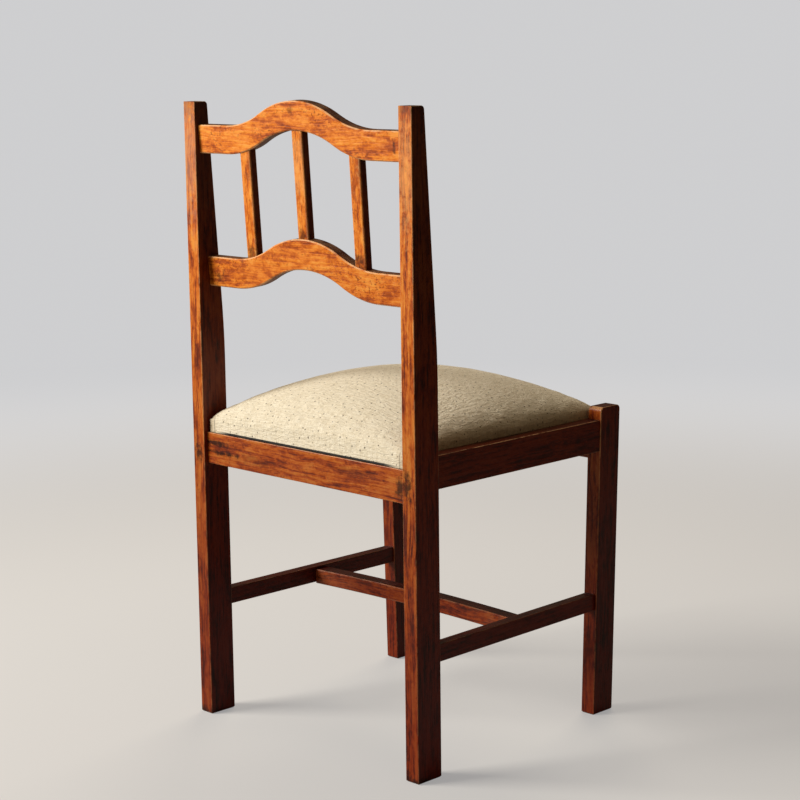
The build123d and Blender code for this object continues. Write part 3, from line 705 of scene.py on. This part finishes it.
for vert, start in zip(cushion_mesh.vertices, before):
    moved = vert.co - start
    if moved.length > most_swell:
        vert.co = start + moved * (most_swell / moved.length)

finer = cushion.modifiers.new("finer", "SUBSURF")
finer.levels = finer.render_levels = 1
cushion_mesh = settle(cushion)

# The cover lies tight on the seat frame up to its rim, square at the corners
frame_low, frame_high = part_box("seat_frame_left")
cover_off_frame = 0.0016
cover_out_x = frame_high.x + cover_off_frame
cover_out_y = (frame_high.y - frame_low.y) / 2 + cover_off_frame
near_frame = 0.005
below_rim = 0.002
near_base = 0.0012
for vert in cushion_mesh.vertices:
    if vert.co.z > cushion_base + cushion_rim - below_rim:
        continue
    y = vert.co.y - cushion_middle.y
    if abs(vert.co.x) > cover_out_x - near_frame:
        vert.co.x = copysign(max(abs(vert.co.x), cover_out_x), vert.co.x)
    if abs(y) > cover_out_y - near_frame:
        vert.co.y = cushion_middle.y + copysign(max(abs(y), cover_out_y), y)
    if vert.co.z < cushion_base + near_base:
        vert.co.z = cushion_base

# The cover's own cloth coordinates: flat on the crown, folded down at the four sides
cloth_map = cushion_mesh.uv_layers.new(name="cloth")
fold_start = cushion_base + 0.046
fold_length_share = 0.85
for face in cushion_mesh.polygons:
    middle = face.center - cushion_middle
    to_side = abs(middle.x) / cushion_half_width > abs(middle.y) / cushion_half_depth
    for corner in face.loop_indices:
        place = cushion_mesh.vertices[cushion_mesh.loops[corner].vertex_index].co
        u, v = place.x, place.y - cushion_middle.y
        drop = max(0.0, fold_start - place.z) * fold_length_share
        if to_side:
            u += copysign(drop, u)
        else:
            v += copysign(drop, v)
        cloth_map.data[corner].uv = (u, v)

# Slack in the cover: small puckers, most of them over the sides and none at the tacked edge
pucker_depth = 0.0007
puckers_per_metre = Vector((38, 38, 95))
pucker_octaves = 3
pucker_crown_share = 0.35
pucker_side_start = 0.72
pucker_low = 0.004
pucker_high = 0.030
cover_normals = [vert.normal.copy() for vert in cushion_mesh.vertices]
for vert, normal in zip(cushion_mesh.vertices, cover_normals):
    place = vert.co - cushion_middle
    edge_share = max(abs(place.x) / cushion_half_width, abs(place.y) / cushion_half_depth)
    slack = pucker_crown_share + smooth_step(edge_share, pucker_side_start, 1.0)
    slack *= smooth_step(vert.co.z - cushion_base, pucker_low, pucker_high)
    pucker = noise.fractal(vert.co * puckers_per_metre, 1.0, 2.0, pucker_octaves)
    vert.co += normal * (pucker_depth * pucker * slack)
for face in cushion_mesh.polygons:
    face.use_smooth = True

# The cover's cloth: cream slubs and dark brown specks of uneven size
cream_stops = [(0.32, (0.60, 0.50, 0.34)), (0.50, (0.81, 0.72, 0.54)), (0.66, (0.88, 0.81, 0.66))]
speck_brown = (0.090, 0.062, 0.040, 1.0)
specks_per_metre = 84.0
speck_scatter = 0.6
speck_growth = 0.14
cover_cloth, tree, shader = new_material("speckled cover cloth")
cloth_place = add_node(tree, "ShaderNodeUVMap", uv_map="cloth").outputs[0]
cover_weave = group_node(tree, weave, {"Cloth": cloth_place, "Threads": 4200.0, "Slub": 420.0})
cover_tone = woven_tone(tree, cover_weave, slub_share=0.75)
cover_colour = ramp_node(tree, cover_tone, cream_stops)
from_speck = add_node(
    tree,
    "ShaderNodeTexVoronoi",
    {"Vector": cloth_place, "Scale": specks_per_metre, "Randomness": speck_scatter},
    voronoi_dimensions="2D",
).outputs["Distance"]
speck_size = noise_node(tree, cloth_place, scale=75.0, detail=1.0)
speck_edge = math_node(tree, "MULTIPLY", speck_size, speck_growth)
in_speck = range_node(tree, math_node(tree, "SUBTRACT", from_speck, speck_edge), 0.05, -0.04)
speck_depth = range_node(tree, speck_size, 0.36, 0.60, 0.28, 0.90)
speck_share = math_node(tree, "MULTIPLY", in_speck, speck_depth)
cover_colour = mix_node(tree, "MIX", speck_share, cover_colour, speck_brown)

# Shade where the cover tucks in under its lower edge, and in a pleat at each corner
seam_shade = (0.012, 0.009, 0.007, 1.0)
tuck_top = 0.0036
tuck_dark = 0.0024
tuck_end_inset = 0.006
tuck_dark_inset = 0.040
pleat_inset = 0.009
pleat_half_width = 0.0016
pleat_dark_half_width = 0.0004
pleat_top = 0.024
pleat_dark = 0.016
pleat_strength = 0.42
cover_axes = axes_of(tree, add_node(tree, "ShaderNodeTexCoord").outputs["Object"])
cover_height = math_node(tree, "SUBTRACT", cover_axes["Z"], cushion_base)
cover_out = math_node(tree, "ABSOLUTE", cover_axes["X"])
tuck = range_node(tree, cover_height, tuck_top, tuck_dark)
tuck_length = range_node(
    tree, cover_out, cushion_half_width - tuck_end_inset, cushion_half_width - tuck_dark_inset
)
from_pleat = math_node(tree, "SUBTRACT", cover_out, cushion_half_width - pleat_inset)
pleat_line = range_node(
    tree, math_node(tree, "ABSOLUTE", from_pleat), pleat_half_width, pleat_dark_half_width
)
pleat = math_node(tree, "MULTIPLY", pleat_line, range_node(tree, cover_height, pleat_top, pleat_dark))
seams = math_node(
    tree,
    "MAXIMUM",
    math_node(tree, "MULTIPLY", tuck, tuck_length),
    math_node(tree, "MULTIPLY", pleat, pleat_strength),
)
cover_colour = mix_node(tree, "MIX", seams, cover_colour, seam_shade)

# Darker and browner low on the left and right sides: partly grime where the seat is lifted by hand, partly
# painted shade down by the rails
grime_and_shade_tint = (0.56, 0.42, 0.25, 1.0)
grime_and_shade_top = 0.050
grime_and_shade_low = 0.006
grime_and_shade_strength = 0.90
grime_and_shade_start_share = 0.86
grime_and_shade_full_share = 0.98
corner_blend = 0.15
width_share = math_node(tree, "DIVIDE", cover_out, cushion_half_width)
from_middle = math_node(tree, "SUBTRACT", cover_axes["Y"], cushion_middle.y)
depth_share = math_node(tree, "DIVIDE", math_node(tree, "ABSOLUTE", from_middle), cushion_half_depth)
side_lead = math_node(tree, "SUBTRACT", width_share, depth_share)
to_side_share = range_node(tree, side_lead, -corner_blend, corner_blend)
grime_and_shade = range_node(tree, cover_height, grime_and_shade_top, grime_and_shade_low, 0.0, grime_and_shade_strength)
for limit in (to_side_share, range_node(tree, width_share, grime_and_shade_start_share, grime_and_shade_full_share)):
    grime_and_shade = math_node(tree, "MULTIPLY", grime_and_shade, limit)
cover_colour = mix_node(tree, "MULTIPLY", grime_and_shade, cover_colour, grime_and_shade_tint)

# Fine ripples that run down each side, deepest towards the rear and at the sides, with painted shade in
# their troughs
ripple_trough_shade = (0.56, 0.48, 0.36, 1.0)
ripple_length_share = 0.3
ripple_front = -0.08
ripple_rear = 0.12
ripple_front_depth = 0.10
ripple_rear_depth = 0.42
ripple_end_share = 0.2
ripple_relief = 0.9


def ripple_noise(stretch):
    stretched = vector_node(tree, "MULTIPLY", cloth_place, stretch)
    return noise_node(tree, stretched, scale=330.0, rough=0.6, twist=0.6)


ripples = add_node(
    tree,
    "ShaderNodeMix",
    {
        0: to_side_share,
        2: ripple_noise((ripple_length_share, 1.0, 1.0)),
        3: ripple_noise((1.0, ripple_length_share, 1.0)),
    },
).outputs[0]
ripples = range_node(tree, ripples, 0.36, 0.64)
ripple_depth = math_node(
    tree,
    "MULTIPLY",
    range_node(tree, from_middle, ripple_front, ripple_rear, ripple_front_depth, ripple_rear_depth),
    range_node(tree, to_side_share, 0.0, 1.0, ripple_end_share, 1.0),
)
# Painted shade in the ripples' troughs
ripple_shade = math_node(tree, "MULTIPLY", math_node(tree, "SUBTRACT", 1.0, ripples), ripple_depth)
cover_colour = mix_node(tree, "MULTIPLY", ripple_shade, cover_colour, ripple_trough_shade)
tree.links.new(cover_colour, shader["Base Color"])
cover_relief = math_node(tree, "MULTIPLY_ADD", ripples, ripple_relief, cover_tone)
tree.links.new(bump_node(tree, cover_relief, strength=0.7, distance=0.0009), shader["Normal"])
shader["Roughness"].default_value = 0.88
shader["Sheen Weight"].default_value = 0.05
cushion_mesh.materials.clear()
cushion_mesh.materials.append(cover_cloth)
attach(cushion, "drop_in_seat")
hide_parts("seat_cover", "stuffing")

# Dust cloth: a thin black lining stretched under the seat frame, which hides the webbing and keeps in
# what falls from the stuffing. A row of tacks along each edge holds it.
lining_thickness = 0.0006
lining_hang = 0.0006
lining_off_frame = 0.0001
cloth_low, cloth_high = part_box("dust_cloth")
lining = plain_cloth("black lining", (0.035, 0.034, 0.034), (0.012, 0.012, 0.012), 3600.0)
lining_mesh = laid_cloth(
    "dust_cloth_lining", cloth_low, cloth_high, cloth_high.z - lining_off_frame, sag=lining_hang
)
dust_cloth = new_piece("dust_cloth_lining", lining_mesh, "drop_in_seat", lining)
thicken(dust_cloth, lining_thickness, offset=-1)
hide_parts("dust_cloth")

# Tacks: cut steel tacks with round domed heads on square tapered shanks, hammered up through the
# lining into the seat frame, four along each edge.
tacks_per_edge = 4
tack_inset = 0.005
tack_head_radius = 0.0035
tack_head_height = 0.0008
tack_shank_width = 0.0016
tack_tip_share = 0.25
tack_weld = 1e-6
tack_low, tack_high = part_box("tacks")
lining_middle = (cloth_low + cloth_high) / 2
lining_half = (cloth_high - cloth_low) / 2
tack_places = []
for row in range(tacks_per_edge):
    share = (row + 0.5) / tacks_per_edge * 2 - 1
    for side in (1, -1):
        tack_places.append((share * lining_half.x, side * (lining_half.y - tack_inset)))
        tack_places.append((side * (lining_half.x - tack_inset), share * lining_half.y))
work = bmesh.new()
for x, y in tack_places:
    x += lining_middle.x
    y += lining_middle.y
    head = bmesh.ops.create_uvsphere(work, u_segments=20, v_segments=10, radius=tack_head_radius)["verts"]
    for face in {face for vert in head for face in vert.link_faces}:
        face.smooth = True
    for vert in head:
        dome = max(-vert.co.z, 0.0) / tack_head_radius * tack_head_height
        vert.co = (x + vert.co.x, y + vert.co.y, tack_low.z + tack_head_height - dome)
    shank = bmesh.ops.create_cube(work, size=1.0)["verts"]
    for vert in shank:
        at_tip = vert.co.z > 0
        width = tack_shank_width * tack_tip_share if at_tip else tack_shank_width
        up = tack_high.z if at_tip else tack_low.z + tack_head_height / 2
        vert.co = (x + vert.co.x * width, y + vert.co.y * width, up)
bmesh.ops.remove_doubles(work, verts=work.verts, dist=tack_weld)
bmesh.ops.recalc_face_normals(work, faces=work.faces)
tack_mesh = bpy.data.meshes.new("lining_tacks")
work.to_mesh(tack_mesh)
work.free()
lining_tacks = new_piece("lining_tacks", tack_mesh, "drop_in_seat", fixing_steel)
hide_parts("tacks")

# The studio: a pale floor that runs into the backdrop, a large soft key light from the left behind the
# chair, a weak one in front of it for the other side, and a dim warm room.
backdrop_tone = (0.62, 0.62, 0.63, 1.0)
floor_near = (0.36, 0.345, 0.32, 1.0)
floor_gone = (0.0, 0.0, 0.0, 1.0)
room_tone = (0.150, 0.118, 0.080, 1.0)
floor_half_size = 60.0
floor_fade_start = 0.7
floor_fade_end = 3.2
floor_near_glow = 0.5
floor_work = bmesh.new()
bmesh.ops.create_grid(floor_work, x_segments=1, y_segments=1, size=floor_half_size)
floor_mesh = bpy.data.meshes.new("floor")
floor_work.to_mesh(floor_mesh)
floor_work.free()
floor = bpy.data.objects.new("floor", floor_mesh)
bpy.context.scene.collection.objects.link(floor)
floor_paint, tree, shader = new_material("floor paint")
floor_away = vector_node(tree, "LENGTH", add_node(tree, "ShaderNodeTexCoord").outputs["Object"])
floor_far = range_node(tree, floor_away, floor_fade_start, floor_fade_end)
tree.links.new(mix_node(tree, "MIX", floor_far, floor_near, floor_gone), shader["Base Color"])
shader["Roughness"].default_value = 1.0
shader["Specular IOR Level"].default_value = 0.0
shader["Emission Color"].default_value = backdrop_tone
floor_seen = add_node(tree, "ShaderNodeLightPath").outputs["Is Camera Ray"]
floor_glow = range_node(tree, floor_far, 0.0, 1.0, floor_near_glow, 1.0)
tree.links.new(math_node(tree, "MULTIPLY", floor_seen, floor_glow), shader["Emission Strength"])
from_below = add_node(tree, "ShaderNodeNewGeometry").outputs["Backfacing"]
tree.links.new(math_node(tree, "SUBTRACT", 1.0, from_below), shader["Alpha"])
floor_mesh.materials.append(floor_paint)

room = bpy.data.worlds.new("room")
bpy.context.scene.world = room
room.use_nodes = True
room_seen = add_node(room.node_tree, "ShaderNodeLightPath").outputs["Is Camera Ray"]
room_colour = mix_node(room.node_tree, "MIX", room_seen, room_tone, backdrop_tone)
room.node_tree.links.new(room_colour, room.node_tree.nodes["Background"].inputs["Color"])
chair_middle = Vector((0.0, 0.0, 0.5))


def soft_light(name, place, size, level, colour):
    """A square lamp aimed at the chair; at level 1 a surface facing it renders in its own colour."""
    lamp = bpy.data.lights.new(name, "AREA")
    lamp.shape = "SQUARE"
    lamp.size = size
    lamp.color = colour
    stand = bpy.data.objects.new(name, lamp)
    bpy.context.scene.collection.objects.link(stand)
    stand.location = place
    aim = chair_middle - stand.location
    lamp.energy = level * pi**2 * aim.length_squared
    stand.rotation_mode = "QUATERNION"
    stand.rotation_quaternion = aim.to_track_quat("-Z", "Y")
    return stand


soft_light("key light", (2.6, 3.4, 2.6), size=2.4, level=1.40, colour=(1.0, 0.97, 0.92))
front_light = soft_light("front light", (1.5, -2.5, 3.3), size=2.0, level=0.40, colour=(1.0, 0.90, 0.76))
front_light.visible_glossy = False

# The camera: a long lens behind the chair and to its right, a little higher than the top of the back,
# which looks slightly down at the chair.
camera = bpy.data.cameras.new("camera")
camera.sensor_width = 36.0
camera.lens = 91.24
camera_stand = bpy.data.objects.new("camera", camera)
bpy.context.scene.collection.objects.link(camera_stand)
camera_target = Vector((-0.01251, 0.02273, 0.44477))
camera_away = 2.72879
camera_turn = radians(225.0)
camera_rise = radians(10.08)
camera_roll = radians(-0.71)
camera_back = Vector(
    (sin(camera_turn) * cos(camera_rise), -cos(camera_turn) * cos(camera_rise), sin(camera_rise))
)
camera_aim = (-camera_back).to_track_quat("-Z", "Y")
camera_stand.location = camera_target + camera_back * camera_away
camera_stand.rotation_mode = "QUATERNION"
camera_stand.rotation_quaternion = camera_aim @ Quaternion((0, 0, 1), camera_roll)
bpy.context.scene.camera = camera_stand
bpy.context.scene.view_settings.view_transform = "Standard"
